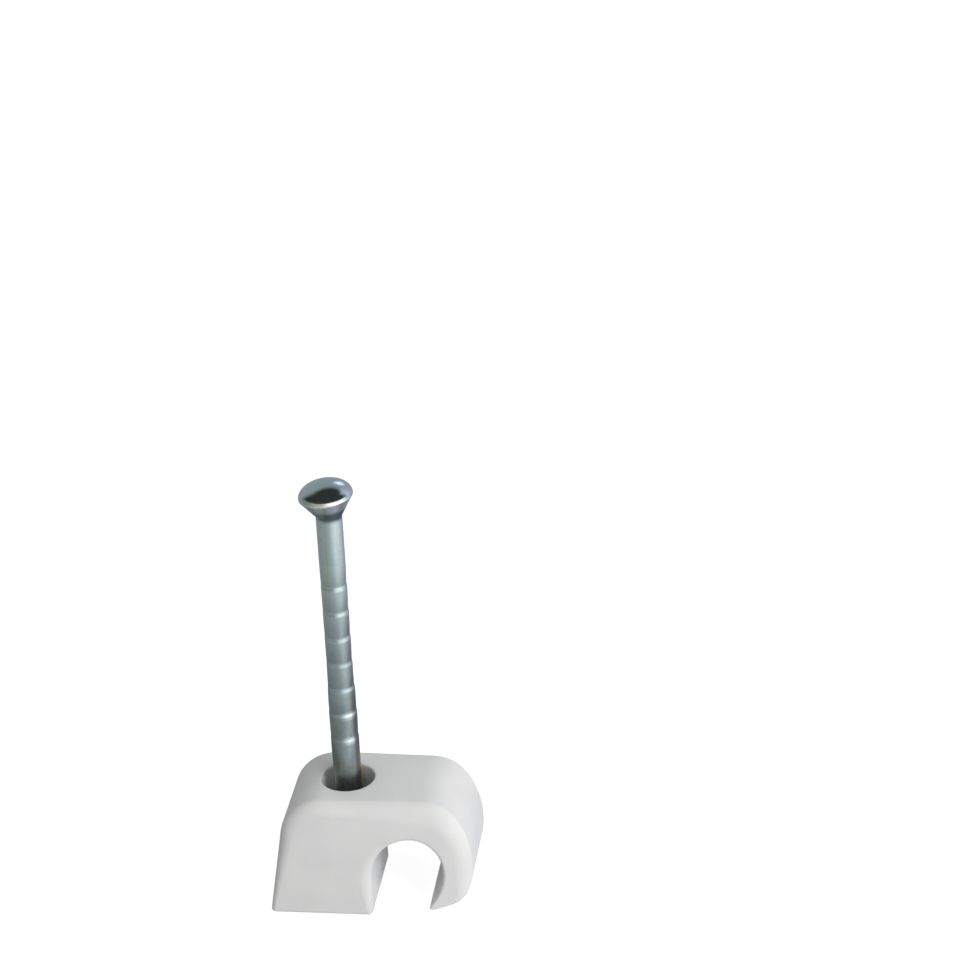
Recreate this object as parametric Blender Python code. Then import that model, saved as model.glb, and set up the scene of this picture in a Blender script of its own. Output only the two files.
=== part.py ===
"""Nail-in cable clip: a moulded plastic hook block with a steel nail standing in its bore.

The cable lies in the channel under the hook, along Y. The flat base stands on the wall plane z = 0.
X runs from the nail's foot towards the hook, Z away from the wall. Lengths are in metres.
"""

import math

import bmesh
import bpy
from mathutils import Vector

# Body, seen from the front
BODY_DEPTH = 0.0086
BODY_HEIGHT = 0.0100
FOOT_WIDTH = 0.0081
SIDE_DRAFT = math.radians(9.2)
SHOULDER_RADIUS = 0.0036

# Cable channel and hook
CHANNEL_WIDTH = 0.0057
CHANNEL_HEIGHT = 0.00693
CHANNEL_WAIST_HEIGHT = 0.00413
ARCH_START_HEIGHT = 0.0031
ARCH_APEX_REACH = 0.0033
MOUTH_WIDTH = 0.00453
HOOK_WALL = 0.0023
WAIST_HEIGHT = 0.0045
CROWN_REACH = 0.0034
HOOK_SIDE_RADIUS = 0.0065
HOOK_CORNER_RADIUS = 0.0022
UNDERSIDE_SLOPE = math.radians(17.0)
BEAK_RADIUS = 0.0002
BEAK_HEIGHT = 0.00065

# Roundings between the outline and the two end faces: how deep they are along Y
SHOULDER_EDGE = 0.00094
CROWN_EDGE = 0.00105
HOOK_EDGE = 0.00094
BEAK_EDGE = 0.00018
CHANNEL_EDGE = 0.0003
ARCH_START_EDGE = 0.0006
TOE_EDGE = 0.0004
HEEL_EDGE = 0.0006

# How many times as far they reach across the end face
SHOULDER_SPREAD = 1.2
CROWN_SPREAD = 1.65
HOOK_SPREAD = 1.45
ARCH_START_SPREAD = 1.5
TOE_SPREAD = 1.2
EVEN_SPREAD = 1.0

# The most of a wall or of the depth that a rounding may take up
OUTER_SHARE = 0.78
INNER_SHARE = 0.15
DEPTH_SHARE = 0.45
BEAK_SHARE = 0.9

# The foot is drawn past the wall plane, cut off there, and rounded along the cut
FOOT_OVERRUN = 0.0030
OVERRUN_RADIUS = 0.0015
BASE_EDGE = 0.00022

# Nail
NAIL_LENGTH = 0.0350
SHANK_RADIUS = 0.0010
TIP_ABOVE_BASE = 0.0006
POINT_LENGTH = 0.0032
POINT_FLAT_RADIUS = 0.00012
HEAD_RADIUS = 0.00203
DOME_HEIGHT = 0.00115
RIM_HEIGHT = 0.00014
UNDERHEAD_HEIGHT = 0.00165
NECK_FILLET = 0.0004

# Rings rolled into the shank, and their groove as shares of its width and depth
RING_COUNT = 7
RING_PITCH = 0.00218
FIRST_RING_FROM_TIP = 0.01305
RING_WIDTH = 0.00036
RING_DEPTH = 0.00006
RING_GROOVE = ((-0.5, 0.0), (-0.25, 0.7), (0.0, 1.0), (0.25, 0.7), (0.5, 0.0))

# Nail hole
NAIL_FROM_SIDE = 0.00605
SHANK_CLEARANCE = 0.0003
HEAD_CLEARANCE = 0.00006
COUNTERBORE_DEPTH = 0.0036
HOLE_LIP_ROUND = 0.00016
HOLE_EXIT_CHAMFER = 0.00015

# Arc angles, from +X towards +Z
RIGHT = 0.0
UP = math.pi / 2
LEFT = math.pi
DOWN = math.pi * 3 / 2
TURN = math.pi * 2

# Facets
EDGE_STEPS = 5
ROUND_SEGMENTS = 48
ARC_STEP = math.radians(7.5)
SIDE_ARC_STEP = math.radians(3.75)
CORNER_ARC_STEP = math.radians(22.5)
BASE_EDGE_STEPS = 3
STRAIGHT_STEP = 0.0009
LATHE_ARC_STEPS = 4
DOME_STEPS = 10
SMOOTH_ANGLE = math.radians(35.0)
CUTTER_OVERRUN = 0.001
CUT_TOLERANCE = 1e-6


def clear_scene():
    for old in list(bpy.data.objects):
        bpy.data.objects.remove(old, do_unlink=True)


def plastic_material():
    material = bpy.data.materials.new("clip_plastic")
    material.use_nodes = True
    shader = material.node_tree.nodes["Principled BSDF"]
    shader.inputs["Base Color"].default_value = (0.72, 0.72, 0.71, 1.0)
    shader.inputs["Roughness"].default_value = 0.42
    shader.inputs["Metallic"].default_value = 0.0
    material.diffuse_color = (0.72, 0.72, 0.71, 1.0)
    return material


def nail_material():
    material = bpy.data.materials.new("nail_steel")
    material.use_nodes = True
    shader = material.node_tree.nodes["Principled BSDF"]
    shader.inputs["Base Color"].default_value = (0.56, 0.60, 0.61, 1.0)
    shader.inputs["Roughness"].default_value = 0.24
    shader.inputs["Metallic"].default_value = 1.0
    material.diffuse_color = (0.56, 0.60, 0.61, 1.0)
    return material


def make_object(name, bm, material):
    mesh = bpy.data.meshes.new(name)
    bmesh.ops.recalc_face_normals(bm, faces=bm.faces)
    bm.to_mesh(mesh)
    bm.free()
    mesh.shade_smooth()
    mesh.set_sharp_from_angle(angle=SMOOTH_ANGLE)
    made = bpy.data.objects.new(name, mesh)
    if material is not None:
        made.data.materials.append(material)
    bpy.context.scene.collection.objects.link(made)
    return made


def elliptic_arc(centre, radii, start, end, step):
    """Points on an ellipse's arc, both ends included."""
    count = max(1, math.ceil(abs(end - start) / step - 1e-6))
    points = []
    for i in range(count + 1):
        angle = start + (end - start) * i / count
        points.append((centre[0] + radii[0] * math.cos(angle), centre[1] + radii[1] * math.sin(angle)))
    return points


def arc(centre, radius, start, end, step):
    return elliptic_arc(centre, (radius, radius), start, end, step)


def line(start, end, step):
    """Evenly spaced points from start to end, both included."""
    count = max(1, round(math.dist(start, end) / step))
    points = []
    for i in range(count + 1):
        t = i / count
        points.append((start[0] + (end[0] - start[0]) * t, start[1] + (end[1] - start[1]) * t))
    return points


def ease(t):
    return t * t * (3.0 - 2.0 * t)


def hook_inside(channel_side, beak_centre):
    """The hook's inner face and the beak's round, from the channel's side down to the beak's underside.

    The inner face is one arc: upright where it leaves the channel's side, tangent to the beak's round.
    """
    across = beak_centre[0] - channel_side
    drop = CHANNEL_WAIST_HEIGHT - beak_centre[1]
    radius = (across**2 + drop**2 - BEAK_RADIUS**2) / (2 * (BEAK_RADIUS - across))
    centre = (channel_side - radius, CHANNEL_WAIST_HEIGHT)
    meeting = math.atan2(beak_centre[1] - centre[1], beak_centre[0] - centre[0])
    face = arc(centre, radius, RIGHT, meeting, ARC_STEP)
    beak = arc(beak_centre, BEAK_RADIUS, meeting + LEFT, DOWN + UNDERSIDE_SLOPE, CORNER_ARC_STEP)
    return face, beak


def hook_outside(hook_side, beak_end):
    """The sloping underside, the round corner and the bowed outer side, from the beak up to the waist.

    The corner's arc touches the underside's line and, from inside, the outer side's arc.
    """
    along = Vector((math.cos(UNDERSIDE_SLOPE), math.sin(UNDERSIDE_SLOPE)))
    inwards = Vector((-along.y, along.x))
    side_centre = Vector((hook_side - HOOK_SIDE_RADIUS, WAIST_HEIGHT))
    start = Vector(beak_end) + inwards * HOOK_CORNER_RADIUS
    offset = start - side_centre
    advance = offset.dot(along)
    centre_gap = HOOK_SIDE_RADIUS - HOOK_CORNER_RADIUS
    run = math.sqrt(advance**2 - offset.length_squared + centre_gap**2) - advance
    corner_centre = start + along * run
    meeting = TURN + math.atan2(corner_centre.y - side_centre.y, corner_centre.x - side_centre.x)
    corner = arc(corner_centre, HOOK_CORNER_RADIUS, DOWN + UNDERSIDE_SLOPE, meeting, ARC_STEP)
    side = arc(side_centre, HOOK_SIDE_RADIUS, meeting, TURN, SIDE_ARC_STEP)
    return line(beak_end, corner[0], STRAIGHT_STEP) + corner[1:] + side[1:]


def drafted_centre(radius, z):
    """The centre, at height z, of an arc that touches the body's drafted side from inside."""
    return (radius / math.cos(SIDE_DRAFT) + z * math.tan(SIDE_DRAFT), z)


def limited(edge, spread, wall):
    """A rounding as (depth, reach across the end face), held within the depth and within that wall."""
    return (min(edge, DEPTH_SHARE * BODY_DEPTH), min(edge * spread, wall))


def with_edges(points, at_start, at_end):
    """The points of a stretch, less its last, with a rounding that eases from start to end."""
    run = [0.0]
    for before, after in zip(points, points[1:]):
        run.append(run[-1] + math.dist(before, after))
    stretch = []
    for (x, z), covered in zip(points[:-1], run):
        share = ease(covered / run[-1])
        depth = at_start[0] + (at_end[0] - at_start[0]) * share
        reach = at_start[1] + (at_end[1] - at_start[1]) * share
        stretch.append((x, z, depth, reach))
    return stretch


def body_outline():
    """The clip seen from the front, anticlockwise, as (x, z, rounding's depth, rounding's reach).

    X is from the foot's side. The foot goes on past the wall plane, so that the roundings of its
    upright edges reach the cut there.
    """
    thinnest = min(HOOK_WALL, BODY_HEIGHT - CHANNEL_HEIGHT)
    heel_edge = limited(HEEL_EDGE, EVEN_SPREAD, DEPTH_SHARE * FOOT_WIDTH)
    toe_edge = limited(TOE_EDGE, TOE_SPREAD, DEPTH_SHARE * FOOT_WIDTH)
    arch_edge = limited(ARCH_START_EDGE, ARCH_START_SPREAD, DEPTH_SHARE * FOOT_WIDTH)
    channel_edge = limited(CHANNEL_EDGE, EVEN_SPREAD, INNER_SHARE * thinnest)
    beak_edge = limited(BEAK_EDGE, EVEN_SPREAD, BEAK_SHARE * BEAK_RADIUS)
    hook_edge = limited(HOOK_EDGE, HOOK_SPREAD, OUTER_SHARE * thinnest)
    crown_edge = limited(CROWN_EDGE, CROWN_SPREAD, OUTER_SHARE * thinnest)
    shoulder_edge = limited(SHOULDER_EDGE, SHOULDER_SPREAD, OUTER_SHARE * thinnest)

    toe_centre = (FOOT_WIDTH - OVERRUN_RADIUS, OVERRUN_RADIUS - FOOT_OVERRUN)
    toe = arc(toe_centre, OVERRUN_RADIUS, DOWN, TURN, CORNER_ARC_STEP)
    toe_at_wall = (FOOT_WIDTH, 0.0)
    apex_x = FOOT_WIDTH + ARCH_APEX_REACH
    rise = (ARCH_APEX_REACH, CHANNEL_HEIGHT - ARCH_START_HEIGHT)
    arch_rise = elliptic_arc((apex_x, ARCH_START_HEIGHT), rise, LEFT, UP, ARC_STEP)
    channel_side = FOOT_WIDTH + CHANNEL_WIDTH
    fall = (channel_side - apex_x, CHANNEL_HEIGHT - CHANNEL_WAIST_HEIGHT)
    arch_fall = elliptic_arc((apex_x, CHANNEL_WAIST_HEIGHT), fall, UP, RIGHT, ARC_STEP)

    beak_centre = (FOOT_WIDTH + MOUTH_WIDTH + BEAK_RADIUS, BEAK_HEIGHT + BEAK_RADIUS)
    inner_face, beak_round = hook_inside(channel_side, beak_centre)
    hook_side = channel_side + HOOK_WALL
    outer_face = hook_outside(hook_side, beak_round[-1])
    crown_centre = (hook_side - CROWN_REACH, WAIST_HEIGHT)
    crown = elliptic_arc(crown_centre, (CROWN_REACH, BODY_HEIGHT - WAIST_HEIGHT), RIGHT, UP, ARC_STEP)

    side_angle = LEFT - SIDE_DRAFT
    shoulder_centre = drafted_centre(SHOULDER_RADIUS, BODY_HEIGHT - SHOULDER_RADIUS)
    shoulder = arc(shoulder_centre, SHOULDER_RADIUS, UP, side_angle, ARC_STEP)
    heel_at_wall = (0.0, 0.0)
    heel_centre = drafted_centre(OVERRUN_RADIUS, OVERRUN_RADIUS - FOOT_OVERRUN)
    heel = arc(heel_centre, OVERRUN_RADIUS, side_angle, DOWN, CORNER_ARC_STEP)

    return (
        with_edges(line(heel[-1], toe[0], STRAIGHT_STEP), heel_edge, toe_edge)
        + with_edges(toe, toe_edge, toe_edge)
        + with_edges(line(toe[-1], toe_at_wall, STRAIGHT_STEP), toe_edge, toe_edge)
        + with_edges(line(toe_at_wall, arch_rise[0], STRAIGHT_STEP), toe_edge, arch_edge)
        + with_edges(arch_rise, arch_edge, channel_edge)
        + with_edges(arch_fall, channel_edge, channel_edge)
        + with_edges(inner_face, channel_edge, beak_edge)
        + with_edges(beak_round, beak_edge, beak_edge)
        + with_edges(outer_face, beak_edge, hook_edge)
        + with_edges(crown, hook_edge, crown_edge)
        + with_edges(line(crown[-1], shoulder[0], STRAIGHT_STEP), crown_edge, shoulder_edge)
        + with_edges(shoulder, shoulder_edge, shoulder_edge)
        + with_edges(line(shoulder[-1], heel_at_wall, STRAIGHT_STEP), shoulder_edge, heel_edge)
        + with_edges(line(heel_at_wall, heel[0], STRAIGHT_STEP), heel_edge, heel_edge)
        + with_edges(heel, heel_edge, heel_edge)
    )


def inward_mitres(outline):
    """For each outline point, the step that moves both of its edges inwards by one unit."""
    mitres = []
    count = len(outline)
    for i in range(count):
        here = Vector(outline[i][:2])
        before = (here - Vector(outline[i - 1][:2])).normalized()
        after = (Vector(outline[(i + 1) % count][:2]) - here).normalized()
        normal_before = Vector((-before.y, before.x))
        normal_after = Vector((-after.y, after.x))
        mitres.append((normal_before + normal_after) / (1.0 + normal_before.dot(normal_after)))
    return mitres


def body_mesh(outline):
    """The outline drawn through the depth, with an elliptic rounding of varying size at both ends."""
    mitres = inward_mitres(outline)
    bm = bmesh.new()
    rings = []
    for side, steps in ((-1.0, range(EDGE_STEPS, -1, -1)), (1.0, range(EDGE_STEPS + 1))):
        for k in steps:
            angle = math.pi / 2 * k / EDGE_STEPS
            ring = []
            for (x, z, depth, reach), mitre in zip(outline, mitres):
                inset = reach * (1.0 - math.cos(angle))
                y = side * (BODY_DEPTH / 2 - depth * (1.0 - math.sin(angle)))
                ring.append(bm.verts.new((x + mitre.x * inset, y, z + mitre.y * inset)))
            rings.append(ring)
    for front, back in zip(rings, rings[1:]):
        for i in range(len(outline)):
            j = (i + 1) % len(outline)
            bm.faces.new((front[j], front[i], back[i], back[j]))
    bm.faces.new(rings[0])
    bm.faces.new(reversed(rings[-1]))
    return bm


def cut_at_wall(bm):
    """Cuts off what lies past the wall plane and rounds the edge of the cut."""
    everything = bm.verts[:] + bm.edges[:] + bm.faces[:]
    cut = bmesh.ops.bisect_plane(
        bm, geom=everything, dist=CUT_TOLERANCE, plane_no=(0.0, 0.0, -1.0), clear_outer=True
    )
    rim = [piece for piece in cut["geom_cut"] if isinstance(piece, bmesh.types.BMEdge)]
    bmesh.ops.edgeloop_fill(bm, edges=rim)
    bmesh.ops.bevel(
        bm,
        geom=rim,
        offset=BASE_EDGE,
        offset_type="OFFSET",
        segments=BASE_EDGE_STEPS,
        profile=0.5,
        affect="EDGES",
    )


def lathe(profile, axis_x):
    """A closed solid turned about an upright axis, from (radius, z) points listed bottom to top."""
    bm = bmesh.new()
    rings = []
    for radius, z in profile:
        ring = []
        for k in range(ROUND_SEGMENTS):
            angle = 2 * math.pi * k / ROUND_SEGMENTS
            ring.append(bm.verts.new((axis_x + radius * math.cos(angle), radius * math.sin(angle), z)))
        rings.append(ring)
    for low, high in zip(rings, rings[1:]):
        for i in range(ROUND_SEGMENTS):
            j = (i + 1) % ROUND_SEGMENTS
            bm.faces.new((low[i], low[j], high[j], high[i]))
    bm.faces.new(reversed(rings[0]))
    bm.faces.new(rings[-1])
    return bm


def underhead_slope():
    """Radius gained per unit of height on the cone under the head."""
    return (HEAD_RADIUS - SHANK_RADIUS) / UNDERHEAD_HEIGHT


def hole_profile():
    """The nail hole: exit chamfer, close bore for the shank, conical seat, counterbore, rounded lip."""
    bore = SHANK_RADIUS + SHANK_CLEARANCE
    counterbore = HEAD_RADIUS + HEAD_CLEARANCE
    seat_top = BODY_HEIGHT - COUNTERBORE_DEPTH
    seat_bottom = seat_top - (counterbore - bore) / underhead_slope()
    profile = [
        (bore + HOLE_EXIT_CHAMFER, -CUTTER_OVERRUN),
        (bore + HOLE_EXIT_CHAMFER, 0.0),
        (bore, HOLE_EXIT_CHAMFER),
        (bore, seat_bottom),
        (counterbore, seat_top),
    ]
    lip_centre = (counterbore + HOLE_LIP_ROUND, BODY_HEIGHT - HOLE_LIP_ROUND)
    profile += arc(lip_centre, HOLE_LIP_ROUND, LEFT, UP, (LEFT - UP) / LATHE_ARC_STEPS)
    profile.append((lip_centre[0], BODY_HEIGHT + CUTTER_OVERRUN))
    return profile


def nail_profile():
    """Point, shank with rolled rings, neck fillet, cone under the head, rim and dome."""
    rim_top = TIP_ABOVE_BASE + NAIL_LENGTH - DOME_HEIGHT
    rim_bottom = rim_top - RIM_HEIGHT
    cone_bottom = rim_bottom - UNDERHEAD_HEIGHT

    profile = [(POINT_FLAT_RADIUS, TIP_ABOVE_BASE), (SHANK_RADIUS, TIP_ABOVE_BASE + POINT_LENGTH)]
    for i in range(RING_COUNT):
        middle = TIP_ABOVE_BASE + FIRST_RING_FROM_TIP + i * RING_PITCH
        for across, depth in RING_GROOVE:
            profile.append((SHANK_RADIUS - RING_DEPTH * depth, middle + RING_WIDTH * across))

    # The neck fillet touches the shank and the cone, whose lines meet at the cone's foot
    cone_angle = math.atan(underhead_slope())
    tangent_run = NECK_FILLET * math.tan(cone_angle / 2)
    neck_centre = (SHANK_RADIUS + NECK_FILLET, cone_bottom - tangent_run)
    profile += arc(neck_centre, NECK_FILLET, LEFT, LEFT - cone_angle, cone_angle / LATHE_ARC_STEPS)

    profile.append((HEAD_RADIUS, rim_bottom))
    dome = elliptic_arc((0.0, rim_top), (HEAD_RADIUS, DOME_HEIGHT), RIGHT, UP, UP / DOME_STEPS)
    return profile + dome[:-1]


def build():
    clear_scene()
    solid = body_mesh(body_outline())
    cut_at_wall(solid)
    low = min(vert.co.x for vert in solid.verts)
    high = max(vert.co.x for vert in solid.verts)
    shift = -(low + high) / 2
    bmesh.ops.translate(solid, vec=(shift, 0.0, 0.0), verts=solid.verts)
    nail_x = NAIL_FROM_SIDE + shift

    body = make_object("clip_body", solid, plastic_material())
    cutter = make_object("nail_hole_cutter", lathe(hole_profile(), nail_x), None)
    cutter.hide_render = True
    cutter.display_type = "WIRE"
    cut = body.modifiers.new("nail_hole", "BOOLEAN")
    cut.operation = "DIFFERENCE"
    cut.solver = "EXACT"
    cut.object = cutter

    make_object("nail", lathe(nail_profile(), nail_x), nail_material())


build()
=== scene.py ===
"""Looks of the nail-in cable clip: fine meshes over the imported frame, materials, studio and camera.

Lengths are in metres, in the frame's own axes: the wall plane is z = 0 and the cable runs along Y.
"""

import math

import bmesh
import bpy
from mathutils import Matrix, Vector


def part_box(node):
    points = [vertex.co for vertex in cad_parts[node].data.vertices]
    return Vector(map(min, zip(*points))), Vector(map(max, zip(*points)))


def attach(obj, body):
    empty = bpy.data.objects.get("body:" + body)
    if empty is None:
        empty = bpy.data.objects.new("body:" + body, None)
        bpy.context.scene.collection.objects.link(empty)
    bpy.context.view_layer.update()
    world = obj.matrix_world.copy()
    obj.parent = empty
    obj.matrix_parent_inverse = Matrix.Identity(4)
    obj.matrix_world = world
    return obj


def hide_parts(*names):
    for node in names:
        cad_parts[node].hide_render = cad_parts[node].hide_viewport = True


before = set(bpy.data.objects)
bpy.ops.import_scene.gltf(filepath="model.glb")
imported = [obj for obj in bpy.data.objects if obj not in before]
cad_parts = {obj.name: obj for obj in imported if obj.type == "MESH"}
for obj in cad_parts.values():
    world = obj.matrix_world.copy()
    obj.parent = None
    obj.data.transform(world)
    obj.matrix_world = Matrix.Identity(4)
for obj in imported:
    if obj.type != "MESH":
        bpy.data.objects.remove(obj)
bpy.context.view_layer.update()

# Body, seen from the front
BODY_DEPTH = 0.0086
BODY_HEIGHT = 0.0100
FOOT_WIDTH = 0.0081
SIDE_DRAFT = math.radians(9.2)
SHOULDER_RADIUS = 0.0036

# Cable channel and hook
CHANNEL_WIDTH = 0.0057
CHANNEL_HEIGHT = 0.00693
CHANNEL_WAIST_HEIGHT = 0.00413
ARCH_START_HEIGHT = 0.0031
ARCH_APEX_REACH = 0.0033
MOUTH_WIDTH = 0.00453
HOOK_WALL = 0.0023
WAIST_HEIGHT = 0.0045
CROWN_REACH = 0.0034
CROWN_BLEND = 0.0011
HOOK_SIDE_RADIUS = 0.0065
HOOK_CORNER_RADIUS = 0.0022
UNDERSIDE_SLOPE = math.radians(17.0)
BEAK_RADIUS = 0.0002
BEAK_HEIGHT = 0.00065

# Roundings between the outline and the two end faces: depth along Y, and reach across the end face
SHOULDER_EDGE = (0.00094, 0.00113)
CROWN_EDGE = (0.00105, 0.00173)
HOOK_EDGE = (0.00094, 0.00136)
BEAK_EDGE = (0.00018, 0.00018)
CHANNEL_EDGE = (0.0003, 0.0003)
ARCH_START_EDGE = (0.0006, 0.0009)
TOE_EDGE = (0.0004, 0.00048)
HEEL_EDGE = (0.00045, 0.00042)

# The foot is drawn past the wall plane, cut off there, and rounded along the cut
FOOT_OVERRUN = 0.0030
OVERRUN_RADIUS = 0.0015
BASE_EDGE = 0.00022
CUT_TOLERANCE = 1e-6

# Nail hole
NAIL_FROM_SIDE = 0.00605
HOLE_RADIUS = 0.0013
COUNTERBORE_RADIUS = 0.00209
COUNTERBORE_DEPTH = 0.0036
SEAT_HEIGHT = 0.00127
HOLE_LIP_ROUND = 0.00016
HOLE_EXIT_CHAMFER = 0.00015
CUTTER_OVERRUN = 0.001

# Nail
NAIL_LENGTH = 0.0350
SHANK_RADIUS = 0.0010
TIP_ABOVE_BASE = 0.0006
POINT_LENGTH = 0.0032
POINT_FLAT_RADIUS = 0.00012
HEAD_RADIUS = 0.00206
DOME_DEPTH = 0.00125
DOME_BULGE = 0.00112
RIM_HEIGHT = 0.00015
RIM_ROUND = 0.0001
UNDERHEAD_HEIGHT = 0.00147
NECK_FILLET = 0.0004
HEAD_TILT = math.radians(5.5)
# The side the key light falls on, which the nail's painted highlights and shade follow
LIT_SIDE = (0.78, -0.626)
RIM_TOP = TIP_ABOVE_BASE + NAIL_LENGTH - DOME_DEPTH
RIM_BOTTOM = RIM_TOP - RIM_HEIGHT
CONE_BOTTOM = RIM_BOTTOM - UNDERHEAD_HEIGHT

# Rings rolled into the shank; they wander a little round it and bite deepest on the lit side
RING_COUNT = 7
RING_PITCH = 0.00218
FIRST_RING_FROM_TIP = 0.01305
RING_LEDGE_HEIGHT = 0.00046
RING_DEPTH = 0.00006
RING_BITE = 0.65
RING_BITE_ON_LIT_SIDE = 0.35
RING_WANDER = 0.00002
RING_WANDER_TURN = 1.7
FIRST_RING = TIP_ABOVE_BASE + FIRST_RING_FROM_TIP

# The rolled stretch is swollen below SWELL_TOP, fully from SWELL_FULL down, and fades at SWELL_END
SWELL = 0.00009
SWELL_TOP = 0.0203
SWELL_FULL = 0.0158
SWELL_END = 0.0050
SWELL_FADE = 0.002

# Arc angles, from +X towards +Z
RIGHT = 0.0
UP = math.pi / 2
LEFT = math.pi
DOWN = math.pi * 3 / 2
TURN = math.pi * 2

# Facets
COUNT_SLACK = 1e-6
ARC_STEP = math.radians(2.0)
CORNER_ARC_STEP = math.radians(7.5)
STRAIGHT_STEP = 0.0004
EDGE_STEPS = 14
BASE_EDGE_STEPS = 6
LATHE_ARC_STEPS = 8
HOLE_SEGMENTS = 144
NAIL_SEGMENTS = 144
SHANK_STEP = 0.00005
DOME_STEPS = 40
SMOOTH_ANGLE = math.radians(35.0)

# Noises: scale per metre, one for all axes or one for each, then detail, roughness and distortion
CLOUDS = (260.0, 3.0, 0.55)
SPECKS = (5200.0, 2.0, 0.6)
GRAIN = (9000.0, 3.0, 0.62)
WAVES = (420.0, 1.0, 0.4)
SCUFFS = ((900.0, 3200.0, 260.0), 2.0, 0.7, 0.6)
PATCHES = ((900.0, 900.0, 300.0), 3.0, 0.55, 0.4)
DRAW_LINES = ((5200.0, 5200.0, 130.0), 3.0, 0.6)
PITS = (4200.0, 2.0, 0.6)
SPANGLE = (1500.0, 2.0, 0.5, 0.8)

# Plastic: a colour, the share of it that is mixed in, and the noise values or lengths it eases over
PLASTIC_DARK = (0.735, 0.737, 0.733, 1.0)
PLASTIC_PALE = (0.765, 0.766, 0.758, 1.0)
PLASTIC_RANGE = (0.35, 0.68)
SPECK = (0.60, 0.60, 0.59, 1.0)
SPECK_SHARE = 0.22
SPECK_RANGE = (0.62, 0.74)
# Painted shade round and in the nail hole, patchy with the clouding
PAINTED_HOLE_SHADE = (0.50, 0.49, 0.46, 1.0)
PAINTED_HOLE_SHADE_SHARE = 0.16
PAINTED_HOLE_SHADE_REACH = (COUNTERBORE_RADIUS - 0.0001, COUNTERBORE_RADIUS + 0.0012)
PAINTED_HOLE_SHADE_RANGE = (0.30, 0.70)
PAINTED_HOLE_SHADE_LEAST = 0.35
# Painted light on the hole's wall
HOLE_WALL_PAINTED_LIGHT = (0.86, 0.86, 0.84, 1.0)
HOLE_WALL_PAINTED_LIGHT_SHARE = 0.5
HOLE_WALL_PAINTED_LIGHT_REACH = (COUNTERBORE_RADIUS, COUNTERBORE_RADIUS + HOLE_LIP_ROUND)
HOLE_WALL_PAINTED_LIGHT_TOP = (BODY_HEIGHT - 0.0008, BODY_HEIGHT - 0.0001)
# Painted warm reflection, a thin streak on the hole's wall
PAINTED_WARM_REFLECTION = (0.62, 0.48, 0.24, 1.0)
PAINTED_WARM_REFLECTION_SHARES = (0.5, 0.9)
PAINTED_WARM_REFLECTION_RANGE = (0.2, 0.6)
PAINTED_WARM_REFLECTION_DIRECTION = (0.392, 0.920)
PAINTED_WARM_REFLECTION_EDGE = (0.990, 0.998)
PAINTED_WARM_REFLECTION_REACH = (COUNTERBORE_RADIUS, COUNTERBORE_RADIUS + HOLE_LIP_ROUND / 2)
PAINTED_WARM_REFLECTION_END = (BODY_HEIGHT - 0.0026, BODY_HEIGHT - 0.0012)
PLASTIC_ROUGHNESS = (0.40, 0.50)
GRAIN_RANGE = (0.30, 0.70)
SCUFF_RANGE = (0.60, 0.75)
SCUFF_POLISH = 0.07
WAVE_BUMP = (0.00002, 0.5)
GRAIN_BUMP = (0.000006, 0.6)
PLASTIC_SHADER = {
    "IOR": 1.49,
    "Specular IOR Level": 0.45,
    "Diffuse Roughness": 0.35,
    "Subsurface Weight": 0.25,
    "Subsurface Radius": (1.0, 0.85, 0.7),
    "Subsurface Scale": 0.0005,
}

# Zinc plate: colours, and the noise values that they ease over
ZINC_GREEN = (0.415, 0.490, 0.465, 1.0)
ZINC_BLUE = (0.450, 0.515, 0.530, 1.0)
ZINC_BLUE_RANGE = (0.36, 0.64)
ZINC_BRIGHT = (0.53, 0.58, 0.58, 1.0)
ZINC_BRIGHT_SHARE = 0.35
ZINC_BRIGHT_RANGE = (0.42, 0.68)
ZINC_DRAWN = (0.32, 0.37, 0.36, 1.0)
ZINC_DRAWN_SHARE = 0.30
ZINC_DRAWN_RANGE = (0.55, 0.75)
ZINC_ROUGHNESS = (0.20, 0.30)
ZINC_ROUGHNESS_RANGE = (0.30, 0.70)
DOME_POLISH = 0.45
DRAWN_ROUGHNESS = 0.08
DRAWN_ROUGHNESS_RANGE = (0.45, 0.75)
NECK_ROUGHNESS = 0.10
DRAWN_BUMP = (0.000008, 0.5)
PIT_BUMP = (0.000005, 0.5)

# Rings: heights in ring pitches above the first one, shares of the stretch between two of them
RINGED_FROM = (-1.2, 0.0)
RINGED_TO = (RING_COUNT - 1.0, RING_COUNT + 1.0)
# Painted shade over each stretch between two rings
ZINC_RING_SHADE = (0.27, 0.31, 0.31, 1.0)
ZINC_RING_SHADE_SHARE = 0.30
RING_SHADED_STRETCH = (0.15, 0.9)
# Painted glints on the ledges of the lowest rings
ZINC_RING_GLINT = (0.82, 0.88, 0.93, 1.0)
ZINC_RING_GLINT_SHARE = 0.75
LEDGE_BELOW = (0.84, 0.94)
LEDGE_ABOVE = (0.14, 0.24)
RING_GLINT_FROM = (-0.3, -0.1)
RING_GLINT_TO = (0.9, 2.2)
RING_GLINT_FACING = (0.5, 0.95)

# Painted shade on the neck and on the hook's side of the lower shank, and the darker shank just above the
# hole
ZINC_NECK_SHADE = (0.075, 0.105, 0.11, 1.0)
ZINC_NECK_SHADE_SHARE = 0.85
NECK_FROM = (CONE_BOTTOM - 0.0004, CONE_BOTTOM)
NECK_TO = (CONE_BOTTOM + 0.0005, CONE_BOTTOM + 0.0010)
NECK_FACING = (-0.1, 0.75)
NECK_LEAST = 0.35
ZINC_LOW_SHANK_DARK = (0.17, 0.18, 0.165, 1.0)
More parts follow.
